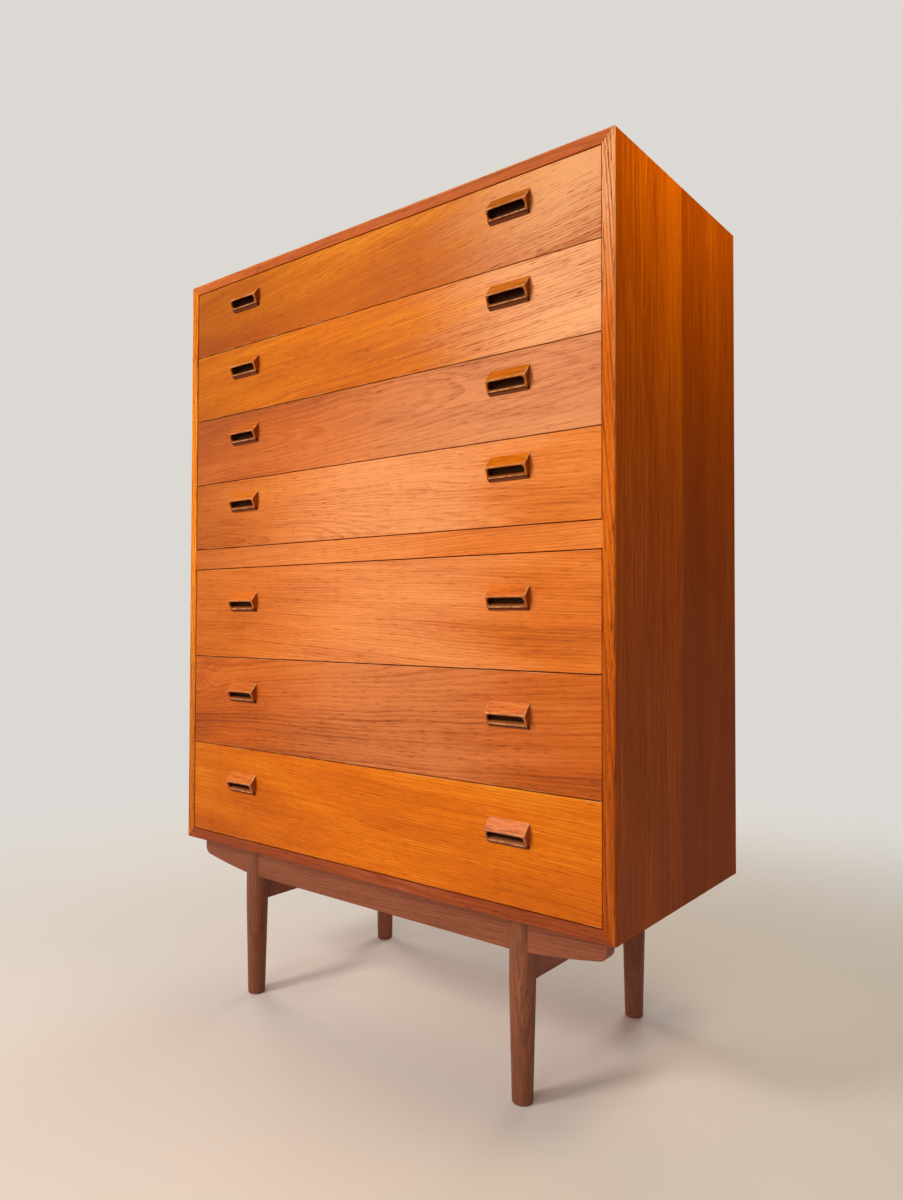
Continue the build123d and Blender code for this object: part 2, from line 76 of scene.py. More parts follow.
class Graph:
    """One material and the few kinds of shader nodes that its surface is wired from."""

    def __init__(self, name: str) -> None:
        """Start an empty surface.

        Args:
            name: Name of the material.
        """
        self.material = bpy.data.materials.new(name)
        self.material.use_nodes = True
        self.tree = self.material.node_tree
        self.shader = self.tree.nodes["Principled BSDF"]

    def add(self, kind: str, feeds: dict, **settings: object) -> bpy.types.Node:
        """Add one node.

        Args:
            kind: Node type without its ShaderNode prefix.
            feeds: What goes into each input, by name or number: a value or another node's output.
            settings: Properties of the node itself.

        Returns:
            The new node.
        """
        node = self.tree.nodes.new("ShaderNode" + kind)
        for key, value in settings.items():
            setattr(node, key, value)
        for key, value in feeds.items():
            self.feed(node.inputs[key], value)
        return node

    def feed(self, target: Socket, value: Feed) -> None:
        """Set an input, or link another node's output to it.

        Args:
            target: The input.
            value: A value or an output.
        """
        if isinstance(value, Socket):
            self.tree.links.new(value, target)
        else:
            target.default_value = value

    def axes(self) -> dict[str, Socket]:
        """Give the place on the chest at rest, one output for each axis."""
        place = self.add("TexCoord", {}).outputs["Object"]
        return dict(self.add("SeparateXYZ", {0: place}).outputs.items())

    def math(self, operation: str, first: Feed, second: Feed = 0.0, third: Feed = 0.0) -> Socket:
        """Work out one number.

        Args:
            operation: Name of the operation.
            first: First value.
            second: Second value, where the operation takes one.
            third: Third value, where the operation takes one.

        Returns:
            The result.
        """
        return self.add("Math", {0: first, 1: second, 2: third}, operation=operation).outputs[0]

    def square(self, value: Feed) -> Socket:
        """Multiply a value by itself."""
        return self.math("MULTIPLY", value, value)

    def total(self, *terms: tuple[float, Feed]) -> Socket:
        """Add up weighted values.

        Args:
            terms: Pairs of a weight and a value.

        Returns:
            The sum.
        """
        result: Feed = 0.0
        for weight, value in terms:
            result = self.math("MULTIPLY_ADD", value, weight, result)
        return result

    def step(self, value: Feed, low: float, high: float) -> Socket:
        """Rise smoothly from 0 to 1 between two values, or fall where the first is the greater one.

        Args:
            value: What is looked at.
            low: Where the result is 0.
            high: Where the result is 1.

        Returns:
            The smooth step.
        """
        if low > high:
            return self.math("SUBTRACT", 1.0, self.step(value, high, low))
        feeds = {"Value": value, "From Min": low, "From Max": high}
        return self.add("MapRange", feeds, interpolation_type="SMOOTHSTEP").outputs[0]

    def both(self, *masks: Feed) -> Socket:
        """Multiply masks together.

        Args:
            masks: Two or more values or outputs.

        Returns:
            The product.
        """
        result = masks[0]
        for mask in masks[1:]:
            result = self.math("MULTIPLY", result, mask)
        return result

    def point(self, x: Feed, y: Feed, z: Feed) -> Socket:
        """Join three values into one place."""
        return self.add("CombineXYZ", {0: x, 1: y, 2: z}).outputs[0]

    def noise(self, place: Socket, detail: float = 3.0, roughness: float = 0.6) -> Socket:
        """Give cloudy values around one half.

        Args:
            place: Where, already stretched to the size of the clouds.
            detail: How many finer layers are added.
            roughness: How strong the finer layers are.

        Returns:
            The value.
        """
        feeds = {"Vector": place, "Scale": 1.0, "Detail": detail, "Roughness": roughness}
        return self.add("TexNoise", feeds).outputs[0]

    def patches(self, size: float, detail: float = 3.0) -> Socket:
        """Give cloudy values that are as large along every axis.

        Args:
            size: Size of the clouds.
            detail: How many finer layers are added.

        Returns:
            The value.
        """
        axes = self.axes()
        place = self.point(*(self.math("DIVIDE", axes[axis], size) for axis in "XYZ"))
        return self.noise(place, detail)

    def mix(self, share: Feed, first: Feed, second: Feed, blend: Blend = Blend.COVER) -> Socket:
        """Lay one colour over another.

        Args:
            share: How much of the second.
            first: First colour.
            second: Second colour.
            blend: How it is laid over.

        Returns:
            The blended colour.
        """
        feeds = {0: share, MIX_FIRST: first, MIX_SECOND: second}
        return self.add("Mix", feeds, data_type="RGBA", blend_type=blend.value).outputs[MIX_RESULT]

    def ramp(self, value: Socket, *stops: tuple[float, str]) -> Socket:
        """Turn a value into a colour.

        Args:
            value: From 0 to 1.
            stops: Places on that scale and their colours.

        Returns:
            The colour.
        """
        node = self.add("ValToRGB", {0: value})
        elements = node.color_ramp.elements
        while len(elements) < len(stops):
            elements.new(1.0)
        for element, (place, code) in zip(elements, stops):
            element.position = place
            element.color = linear(code)
        return node.outputs[0]


@dataclass(frozen=True)
class Board:
    """Where a board lies, for grain that is laid out from its middle."""

    low: Vector
    high: Vector

    @classmethod
    def of(cls, node: str) -> "Board":
        """Read a board's corners from the frame."""
        return cls(*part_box(node))

    def middle(self, axis: str) -> float:
        """Give the middle of the board along one axis."""
        index = "XYZ".index(axis)
        return (self.low[index] + self.high[index]) / 2


@dataclass
class Surface:
    """What a wood gives to the shader, before wear and joints are laid over it."""

    colour: Socket
    roughness: Socket
    relief: Socket


@dataclass(frozen=True)
class Knot:
    """An eye in the grain, from the middle of the board."""

    along: float
    across: float
    length: float
    width: float
    swell: float

    def bulge(self, graph: Graph, along: Socket, across: Socket) -> Socket:
        """Push the grain aside round the eye.

        Args:
            graph: The material.
            along: Place along the grain.
            across: Place across the grain.

        Returns:
            How far the grain is pushed.
        """
        far = graph.math("DIVIDE", graph.math("SUBTRACT", along, self.along), self.length)
        wide = graph.math("DIVIDE", graph.math("SUBTRACT", across, self.across), self.width)
        away = graph.total((-1.0, graph.square(far)), (-1.0, graph.square(wide)))
        return graph.math("MULTIPLY", graph.math("EXPONENT", away), self.swell)


@dataclass(frozen=True)
class Layer:
    """One layer of a wood's figure: the length and width of its clouds, and how finely they break up."""

    length: float
    width: float
    detail: float
    roughness: float


CROOK = Layer(330 * MM, 90 * MM, 2.0, 0.5)
STREAKS = Layer(130 * MM, 2.8 * MM, 3.0, 0.6)
FIBRES = Layer(38 * MM, 1.0 * MM, 2.0, 0.6)
CLOUDS = Layer(300 * MM, 45 * MM, 3.0, 0.5)
SPECKS = Layer(24 * MM, 1.1 * MM, 1.0, 0.5)
PORE_ONSET: Span = (0.60, 0.72)
RING_RISE: Span = (0.30, 0.92)
RING_FALL: Span = (1.0, 0.94)
FAINTEST_RING = 0.2
EVEN_TONE = 0.40
TONE_STOPS = (0.10, 0.40, 0.72, 1.00)
# Painted sheen: how ragged its edge is, and which tones of the figure take it.
PAINTED_SHEEN_RAGGEDNESS = 0.25
PAINTED_SHEEN_TONES: Span = (0.75, 0.35)
FIBRE_DULLNESS = 0.12
PORE_DULLNESS = 0.10
PORE_DEPTH = 0.8
FIBRE_DEPTH = 0.4
RING_DEPTH = 0.3
BUMP_STRENGTH = 0.6


@dataclass(frozen=True)
class Timber:
    """A wood and the cut that shows: colours, growth rings, streaks, pores, painted sheen and painted shade,
    and gloss.
    """

    pale: str
    body: str
    dark: str
    deep: str
    grain: Grain
    ring: float = 4.2 * MM
    pith_across: float = 180 * MM
    pith_behind: float = 60 * MM
    drift: float = 0.03
    climb: float = 0.03
    wander: float = 7 * MM
    figure: float = 0.16
    streaks: float = 0.42
    fibres: float = 0.34
    clouds: float = 0.40
    shade: float = 0.0
    pores: float = 0.30
    gloss: float = 0.42
    shine: float = 0.25
    relief: float = 0.12 * MM
    painted_sheen: float = 0.0
    painted_sheen_span: Span = (0.10, 0.50)
    painted_sheen_fade: Optional[Span] = None
    painted_end_shade: float = 0.0
    painted_end_shade_span: Span = (-0.05, -0.44)
    knot: Optional[Knot] = None
    seed: float = 0.0

    def bare(self, name: str, node: str) -> bpy.types.Material:
        """Make a material of the wood alone, laid out from one board.

        Args:
            name: Name of the material.
            node: Name of the board's node.

        Returns:
            The finished material.
        """
        graph = Graph(name)
        return self.close(graph, self.lay(graph, Board.of(node)))

    def lay(self, graph: Graph, board: Board) -> Surface:
        """Wire the wood into a material.

        Args:
            graph: The material.
            board: The board that the rings are laid out from.

        Returns:
            Colour, roughness and relief.
        """
        axes = graph.axes()
        along, across, through = (
            graph.math("SUBTRACT", axes[axis], board.middle(axis)) for axis in self.grain.value)
        shifted = graph.math("ADD", along, self.seed)

        def spread(layer: Layer, sideways: Socket) -> Socket:
            """Lay out one layer of the figure.

            Args:
                layer: The layer.
                sideways: Place across the grain.

            Returns:
                Cloudy values around one half.
            """
            place = graph.point(
                graph.math("DIVIDE", shifted, layer.length),
                graph.math("DIVIDE", sideways, layer.width),
                graph.math("DIVIDE", through, layer.width))
            return graph.noise(place, layer.detail, layer.roughness)

        rings, bend = self.rings(graph, along, across, through, spread(CROOK, across))
        streaks = spread(STREAKS, bend)
        fibres = spread(FIBRES, bend)
        clouds = spread(CLOUDS, bend)
        pores = graph.step(spread(SPECKS, bend), *PORE_ONSET)
        even = EVEN_TONE - (self.streaks + self.fibres + self.clouds) / 2
        tone = graph.total(
            (1.0, even), (self.streaks, streaks), (self.fibres, fibres), (self.clouds, clouds),
            (self.figure, rings), (self.pores, pores), (self.shade, across))
        colour = graph.ramp(tone, *zip(TONE_STOPS, (self.pale, self.body, self.dark, self.deep)))
        smoothest = self.gloss - FIBRE_DULLNESS / 2
        return Surface(
            self.age(graph, colour, tone, along, clouds),
            graph.total((1.0, smoothest), (FIBRE_DULLNESS, fibres), (PORE_DULLNESS, pores)),
            graph.total((-PORE_DEPTH, pores), (-FIBRE_DEPTH, fibres), (-RING_DEPTH, rings)))

    def age(self, graph: Graph, colour: Socket, tone: Socket, along: Socket, clouds: Socket) -> Socket:
        """Paint a pale sheen where the lamps reflect on the wood, and paint shade on the end that lies in
        shade.

        Args:
            graph: The material.
            colour: Colour of the fresh wood.
            tone: How dark the figure is, from 0 to 1.
            along: Place along the grain, from the board's middle.
            clouds: Cloudy values that make the painted sheen ragged.

        Returns:
            The colour with its painted sheen and painted shade.
        """
        # Painted sheen: a paler, lamp-lit patch laid into the colour.
        if self.painted_sheen:
            reach = graph.total((1.0, along), (PAINTED_SHEEN_RAGGEDNESS, clouds))
            sheen_mask = graph.both(graph.step(reach, *self.painted_sheen_span), graph.step(tone, *PAINTED_SHEEN_TONES))
            if self.painted_sheen_fade:
                sheen_mask = graph.both(sheen_mask, graph.step(reach, *self.painted_sheen_fade))
            colour = graph.mix(graph.both(sheen_mask, self.painted_sheen), colour, linear(PAINTED_SHEEN_TEAK))
        # Painted shade: the far end along the grain, the left end of a front or rail, darkened as if lying in
        # shade.
        if self.painted_end_shade:
            end_shaded = graph.both(graph.step(along, *self.painted_end_shade_span), self.painted_end_shade)
            colour = graph.mix(end_shaded, colour, linear(self.deep))
        return colour

    def rings(self, graph: Graph, along: Socket, across: Socket, through: Socket,
              crook: Socket) -> tuple[Socket, Socket]:
        """Cut the growth rings of a leaning, slightly crooked trunk.

        Args:
            graph: The material.
            along: Place along the grain, from the board's middle.
            across: Place across the grain, from the board's middle.
            through: Place through the board, from its middle.
            crook: Cloudy value that bends the trunk.

        Returns:
            1 on the dark line of a ring and 0 between lines, and the place across the bent grain.
        """
        sway = graph.total((2 * self.wander, crook), (1.0, -self.wander))
        if self.knot:
            sway = graph.math("ADD", sway, self.knot.bulge(graph, along, across))
        bend = graph.total((1.0, across), (-self.drift, along), (1.0, sway))
        aside = graph.math("SUBTRACT", bend, self.pith_across)
        behind = graph.total((1.0, through), (1.0, self.pith_behind), (self.climb, along), (1.0, sway))
        radius = graph.math("SQRT", graph.total((1.0, graph.square(aside)), (1.0, graph.square(behind))))
        count = graph.math("DIVIDE", radius, self.ring)
        wave = graph.math("FRACT", count)
        line = graph.both(graph.step(wave, *RING_RISE), graph.step(wave, *RING_FALL))
        number = graph.math("FLOOR", count)
        strength = graph.add("TexWhiteNoise", {"W": number}, noise_dimensions="1D").outputs[0]
        shown = graph.total((1.0 - FAINTEST_RING, strength), (1.0, FAINTEST_RING))
        return graph.both(line, shown), bend

    def close(self, graph: Graph, surface: Surface) -> bpy.types.Material:
        """Link the surface to the shader.

        Args:
            graph: The material.
            surface: Colour, roughness and relief.

        Returns:
            The finished material.
        """
        inputs = graph.shader.inputs
        graph.feed(inputs["Base Color"], surface.colour)
        graph.feed(inputs["Roughness"], surface.roughness)
        graph.feed(inputs["Specular IOR Level"], self.shine)
        feeds = {"Strength": BUMP_STRENGTH, "Distance": self.relief, "Height": surface.relief}
        graph.feed(inputs["Normal"], graph.add("Bump", feeds).outputs[0])
        return graph.material


def dress(node: str, material: bpy.types.Material) -> None:
    """Give a frame node its material.

    Args:
        node: Name of the node.
        material: The material, the only one it keeps.
    """
    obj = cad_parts[node]
    obj.data.materials.clear()
    obj.data.materials.append(material)
    LOG.info("%s dressed in %s", node, material.name)


TEAK = Timber(
    pale="#F09A4C", body="#DA7424", dark="#A64A12", deep="#642608", grain=Grain.SIDEWAYS, shine=0.09)
# Teak with painted sheen across the middle of the board.
MIDDLE_PAINTED_SHEEN_TEAK = replace(
    TEAK, clouds=0.5, painted_sheen_span=(-0.18, 0.15), painted_sheen_fade=(0.50, 0.26))
OAK = Timber(
    pale="#E6C596", body="#D4A874", dark="#B2804C", deep="#8C6036", grain=Grain.BACKWARDS, ring=7 * MM,
    figure=0.30, gloss=0.55, shine=0.2)


@dataclass
class Case:
    """The mitred case: two sides, top, bottom, back panel and the fixed rail."""

    lipping: float = 4 * MM
    lipping_joint: float = MM
    seam_share: float = 0.50
    seam_joint: float = 0.4 * MM
    rear_leaf_dark: float = 0.25
    past_seam_dark: float = 0.25
    pale_reach: float = 110 * MM
    pale_end: float = MM
    pale_height: Span = (0.60, 1.10)
    pale_share: float = 0.20
    # Painted shade on the sides: darker and less orange towards the bottom.
    low_painted_shade: str = "#EEE4FF"
    low_shade_height: Span = (1.25, 0.80)
    # Painted reflection of the pale floor on the lower part of the sides.
    painted_floor_reflection: str = "#D8A8A0"
    floor_reflection_height: Span = (1.15, 0.24)
    floor_reflection_share: float = 0.10
    # Painted shade on the solid front edges, darker towards the bottom.
    edge_painted_shade: str = "#CFC6F6"
    painted_shade_height: Span = (0.92, 0.28)
    worn_edge: float = 3.4 * MM
    worn_blur: float = 2 * MM
    # Upper part only: the pale corner there is partly wear, partly a painted highlight.
    wear_and_highlight_height: Span = (0.80, 1.25)
    worn_patch: float = 60 * MM
    worn_spread: Span = (0.20, 0.75)
    worn_share: float = 0.75
    side_seeds: tuple[float, float] = (0.4, 3.1)
    level_seeds: tuple[float, float] = (3.1, 5.0)
    edge_seed: float = 0.7
    side_veneer: Timber = replace(
        TEAK, pale="#D77606", body="#AA4F04", dark="#7D3304", deep="#4F1B04", grain=Grain.UPRIGHT,
        pith_across=700 * MM, pith_behind=100 * MM, drift=0.0, ring=6 * MM, wander=4 * MM, figure=0.10,
        streaks=0.80, clouds=0.28, pores=0.16, shine=0.0, gloss=0.46)
    top_veneer: Timber = replace(
        TEAK, pale="#E58E3E", body="#CC6A1E", dark="#9A4612", grain=Grain.SIDEWAYS_FLAT,
        pith_across=300 * MM)
    # The upright edge carries painted sheen on its upper part.
    upright_edge: Timber = replace(
        TEAK, pale="#EE9C50", body="#D66C18", dark="#9C4216", grain=Grain.UPRIGHT, ring=2.4 * MM,
        pith_across=20 * MM, pith_behind=90 * MM, drift=0.0, climb=0.08, wander=5 * MM, figure=0.32,
        streaks=0.5, pores=0.4, painted_sheen=0.80, painted_sheen_span=(0.36, 0.60))
    left_edge_pale: str = "#F2A848"
    left_edge_body: str = "#E88826"
    level_edge: Timber = replace(
        TEAK, pale="#E08A4C", body="#BC5E24", dark="#8E3E16", pith_across=70 * MM, drift=0.02, figure=0.14)
    # The rail carries painted sheen across its middle and painted shade at its left end.
    rail_veneer: Timber = replace(
        TEAK, pale="#F0A050", body="#DE7A2C", dark="#B45620", pores=0.22, painted_sheen=0.16,
        painted_sheen_span=(-0.28, 0.05), painted_sheen_fade=(0.40, 0.16), painted_end_shade=0.32, seed=5.3)
    back_ply: Timber = replace(
        TEAK, pale="#C08A58", body="#A06A3E", dark="#7A4A28", deep="#553018", grain=Grain.UPRIGHT_FACING,
        pith_across=40 * MM, gloss=0.62, shine=0.15, seed=8.1)

    def dress(self) -> None:
        """Dress every board of the case."""
        for node, seed in zip(("left_side_panel", "right_side_panel"), self.side_seeds):
            dress(node, self.side(node, seed))
        for node, seed in zip(("top_panel", "bottom_panel"), self.level_seeds):
            dress(node, self.level(node, seed))
        for node, timber in (("middle_rail", self.rail_veneer), ("back_panel", self.back_ply)):
            dress(node, timber.bare(node + "_wood", node))

    def side(self, node: str, seed: float) -> bpy.types.Material:
        """Make the finish of one side: two veneer leaves and a solid front edge, with painted shade and a
        painted floor reflection low down.

        Args:
            node: Name of the side's node.
            seed: Shifts the figure.

        Returns:
            The material.
        """
        graph = Graph(node + "_teak")
        board = Board.of(node)
        veneer = replace(self.side_veneer, seed=seed)
        surface = veneer.lay(graph, board)
        colour = self.leaves(graph, board, veneer, surface.colour)
        axes = graph.axes()
        # Painted shade: the side darkens towards the bottom, as light falls from above.
        low_shaded = graph.step(axes["Z"], *self.low_shade_height)
        colour = graph.mix(low_shaded, colour, linear(self.low_painted_shade), Blend.STAIN)
        # Painted reflection: the floor's pale glint laid into the colour towards the bottom.
        reflected = graph.both(graph.step(axes["Z"], *self.floor_reflection_height), self.floor_reflection_share)
        colour = graph.mix(reflected, colour, linear(self.painted_floor_reflection))
        outer = max(abs(board.low.x), abs(board.high.x))
        from_outside = graph.math("SUBTRACT", outer, graph.math("ABSOLUTE", axes["X"]))
        edge = replace(self.upright_edge, seed=seed + self.edge_seed)
        if node == "left_side_panel":
            edge = replace(edge, pale=self.left_edge_pale, body=self.left_edge_body, painted_sheen=0.0)
        surface.colour = self.edge(graph, board, colour, from_outside, edge)
        return veneer.close(graph, surface)

    def leaves(self, graph: Graph, board: Board, veneer: Timber, colour: Socket) -> Socket:
        """Part a side's veneer into two leaves: pale before the upright seam and dark behind it.

        Args:
            graph: The material.
            board: The side.
            veneer: Its veneer.
            colour: Colour of the veneer.

        Returns:
            The colour of both leaves.
        """
        axes = graph.axes()
        seam = board.low.y + self.seam_share * (board.high.y - board.low.y)
        rear_leaf = graph.step(axes["Y"], seam - self.seam_joint, seam + self.seam_joint)
        past_seam = graph.both(rear_leaf, graph.step(axes["Y"], board.high.y, seam))
        darker = graph.total((self.rear_leaf_dark, rear_leaf), (self.past_seam_dark, past_seam))
        colour = graph.mix(darker, colour, linear(veneer.dark))
        paler = graph.both(
            graph.step(axes["Y"], seam - self.pale_reach, seam),
            graph.step(axes["Y"], seam + self.pale_end, seam),
            graph.step(axes["Z"], *self.pale_height),
            self.pale_share)
        return graph.mix(paler, colour, linear(veneer.pale))

    def level(self, node: str, seed: float) -> bpy.types.Material:
        """Make the finish of the top or the bottom board.

        Args:
            node: Name of the board's node.
            seed: Shifts the figure.

        Returns:
            The material.
        """
        graph = Graph(node + "_teak")
        board = Board.of(node)
        veneer = replace(self.top_veneer, seed=seed)
        surface = veneer.lay(graph, board)
        height = graph.axes()["Z"]
        if node == "top_panel":
            from_outside = graph.math("SUBTRACT", board.high.z, height)
        else:
            from_outside = graph.math("SUBTRACT", height, board.low.z)
        edge = replace(self.level_edge, seed=seed + self.edge_seed)
        surface.colour = self.edge(graph, board, surface.colour, from_outside, edge)
        return veneer.close(graph, surface)

    def edge(self, graph: Graph, board: Board, colour: Socket, from_outside: Socket, teak: Timber) -> Socket:
        """Lay the solid front edge over a board's veneer, with painted shade darkening it towards the bottom,
        and worn pale along its outer corner, where the pale line is partly a painted highlight.

        Args:
            graph: The material.
            board: The board.
            colour: Colour of the veneer.
            from_outside: Distance from the board's outer face.
            teak: Wood of the edge.

        Returns:
            The colour with its edge.
        """
        axes = graph.axes()
        # Painted shade: the edge darkens towards the bottom.
        shaded = graph.step(axes["Z"], *self.painted_shade_height)
        solid = graph.mix(shaded, teak.lay(graph, board).colour, linear(self.edge_painted_shade), Blend.STAIN)
        behind = graph.math("SUBTRACT", axes["Y"], board.low.y)
        in_front = graph.step(behind, self.lipping, self.lipping - self.lipping_joint)
        colour = graph.mix(in_front, colour, solid)
        corner = graph.math("ADD", behind, from_outside)
        # Worn pale corner: partly real wear, partly a painted highlight on the upper part.
        worn = graph.both(
            graph.step(corner, self.worn_edge, self.worn_edge - self.worn_blur),
            graph.step(axes["Z"], *self.wear_and_highlight_height),
            graph.step(graph.patches(self.worn_patch), *self.worn_spread),
            self.worn_share)
        return graph.mix(worn, colour, linear(WORN_AND_HIGHLIT_TEAK))


@dataclass
class HandleFaces:
    """How far a place on a handle lies from its faces, as the painted shades, the wear and the painted
    highlights follow them.
    """

    aside: Socket
    down: Socket
    below_top: Socket
    under_mouth: Socket
    below_floor: Socket


@dataclass
class Handle:
    """Shape of a carved handle, with painted shade in its slot and on its shaded faces, painted light on the
    slot's floor, and its wear and painted highlights.

    The ridge, the lip and the slot's lower edge are lines across the handle, each given by its distance out
    of the drawer front and its distance below the handle's top.
    """

    middle: float
    face: float
    top: float
    half_width: float = 34 * MM
    ridge: Line = (13 * MM, 16 * MM)
    lip: Line = (6.7 * MM, 32.4 * MM)
    slot_edge: Line = (7.4 * MM, 30.5 * MM)
    slot_inset: float = 2.8 * MM
    slot_rise: float = math.radians(40)
    slot_run: float = 10 * MM
    slot_sides: Span = (0.3 * MM, -0.1 * MM)
    slot_mouth: Span = (0.1 * MM, 4 * MM)
    slot_roof: Span = (1.3 * MM, 1.9 * MM)
    # Painted shade, with some dirt: near black inside the finger slot, where shade falls.
    slot_painted_shade: str = "#120502"
    slot_share: float = 0.97
    # Painted light: the slot's floor, which faces up, lighter than the rest of the slot.
    floor_skin: Span = (-1.0 * MM, -0.1 * MM)
    floor_reach: Span = (9 * MM, MM)
    slot_floor_painted_light: str = "#C48060"
    floor_share: float = 0.5
    floor_light: float = 0.55
    # Painted shade on the mouth's rim, the end faces and the toe under the lip.
    rim: Span = (0.8 * MM, 0.1 * MM)
    rim_painted_shade: str = "#6A2A10"
    rim_share: float = 0.60
    end: Span = (-0.9 * MM, -0.2 * MM)
    end_painted_shade: str = "#6E2404"
    end_share: float = 0.65
    toe_height: float = 4.5 * MM
    toe_painted_shade: str = "#461404"
    toe_share: float = 0.88
    worn_end: Span = (-2.2 * MM, -0.5 * MM)
    worn_top: Span = (1.8 * MM, 0.5 * MM)
    worn_mouth: Span = (1.5 * MM, 0.4 * MM)
    ridge_wear_and_highlight: Span = (-20 * MM, 32 * MM)
    worn_lip: Span = (1.5 * MM, 0.4 * MM)
    worn_floor: Span = (-0.5 * MM, 0.0)
    top_corner_wear: float = 1.8
    mouth_corner_wear: float = 0.7
    lip_wear: float = 1.3
    patch: float = 7 * MM
    patch_detail: float = 2.0
    patch_spread: Span = (0.30, 0.70)
    patchy_wear: float = 0.45
    even_wear: float = 0.15
    # Painted shadow that each handle casts to its right on the drawer front.
    painted_shadow_reach: float = 6 * MM
    painted_shadow_height: float = 18 * MM
    painted_shadow_fade: Span = (0.0, 0.5)

    @classmethod
    def of(cls, drawer: str) -> "Handle":
        """Read the place of a drawer's right handle from the frame."""
        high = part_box(f"{drawer}_handles")[1]
        return cls(high.x - cls.half_width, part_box(f"{drawer}_front")[0].y, high.z)

    def dress(self, graph: Graph, colour: Socket) -> Socket:
        """Paint shade into the finger slot and onto the shaded faces, and wear and painted highlights onto
        the edges.

        Args:
            graph: The handle's material.
            colour: Colour of its wood.

        Returns:
            The colour with painted shade, wear and painted highlights.
        """
        faces = self.faces(graph)
        slot_end = self.half_width - self.slot_inset
        in_slot = graph.step(faces.aside, slot_end + self.slot_sides[0], slot_end + self.slot_sides[1])
        colour = self.shade(graph, faces, in_slot, colour)
        return graph.mix(self.wear_and_highlights(graph, faces, in_slot), colour, linear(WORN_AND_HIGHLIT_TEAK))

    def faces(self, graph: Graph) -> HandleFaces:
        """Measure where a place lies on the handle.

        Args:
            graph: The handle's material.

        Returns:
            Its distances.
        """
        axes = graph.axes()
        from_middle = graph.math("SUBTRACT", graph.math("ABSOLUTE", axes["X"]), self.middle)
        out = graph.math("SUBTRACT", self.face, axes["Y"])
        down = graph.math("SUBTRACT", self.top, axes["Z"])
        slot_back = (self.slot_edge[0] - math.cos(self.slot_rise) * self.slot_run,
                     self.slot_edge[1] - math.sin(self.slot_rise) * self.slot_run)
        return HandleFaces(
            graph.math("ABSOLUTE", from_middle), down,
            self.inside(graph, out, down, (0.0, 0.0), self.ridge),
            self.inside(graph, out, down, self.ridge, self.lip),
            self.inside(graph, out, down, slot_back, self.slot_edge))

    def shade(self, graph: Graph, faces: HandleFaces, in_slot: Socket, colour: Socket) -> Socket:
        """Paint shade onto the mouth's rim, the ends, the toe and the slot, and paint light onto the slot's
        floor.

        Args:
            graph: The handle's material.
            faces: Where the place lies.
            in_slot: 1 between the slot's two ends.
            colour: Colour of the wood.

        Returns:
            The colour with painted shade and painted light.
        """
        ends = (self.half_width + place for place in self.end)
        toe = (self.lip[1] - self.toe_height, self.lip[1])
        # Painted shade on the rim, the ends and the toe.
        for value, span, share, code in (
                (faces.under_mouth, self.rim, self.rim_share, self.rim_painted_shade),
                (faces.aside, ends, self.end_share, self.end_painted_shade),
                (faces.down, toe, self.toe_share, self.toe_painted_shade)):
            colour = graph.mix(graph.both(graph.step(value, *span), share), colour, linear(code))
        slot = graph.both(
            graph.step(faces.under_mouth, *self.slot_mouth),
            graph.step(faces.below_top, *self.slot_roof),
            in_slot)
        # Painted light on the slot's floor.
        floor = graph.both(
            graph.step(faces.below_floor, *self.floor_skin),
            graph.step(faces.under_mouth, *self.floor_reach))
        colour = graph.mix(graph.both(slot, floor, self.floor_share), colour, linear(self.slot_floor_painted_light))
        # Painted shade in the slot, less on its painted-light floor.
        painted_hollow_shade = graph.both(slot, graph.total((1.0, self.slot_share), (-self.floor_light, floor)))
        return graph.mix(painted_hollow_shade, colour, linear(self.slot_painted_shade))

    def wear_and_highlights(self, graph: Graph, faces: HandleFaces, in_slot: Socket) -> Socket:
        """Find the corners, the ridge and the lip that hands have worn, with painted highlights on them, here
        more and there less.

        Args:
            graph: The handle's material.
            faces: Where the place lies.
            in_slot: 1 between the slot's two ends.

        Returns:
            How pale the wood is worn and painted with highlights.
        """
        near_end = graph.step(faces.aside, *(self.half_width + place for place in self.worn_end))
        near_top = graph.step(faces.below_top, *self.worn_top)
        near_mouth = graph.step(faces.under_mouth, *self.worn_mouth)
        # Pale lines on the ends, the ridge and the lip: partly wear, partly painted highlights of the key
        # light.
        corners = graph.total((self.top_corner_wear, near_top), (self.mouth_corner_wear, near_mouth))
        ridge = graph.both(near_top, near_mouth, graph.step(faces.aside, *self.ridge_wear_and_highlight))
        lip = graph.both(
            graph.step(faces.below_floor, *self.worn_lip),
            graph.step(faces.below_floor, *self.worn_floor),
            near_mouth, in_slot, self.lip_wear)
        worn = graph.math("MAXIMUM", graph.both(near_end, corners), ridge)
        worn = graph.math("MAXIMUM", worn, lip)
        patchy = graph.step(graph.patches(self.patch, self.patch_detail), *self.patch_spread)
        return graph.both(worn, graph.total((self.patchy_wear, patchy), (1.0, self.even_wear)))

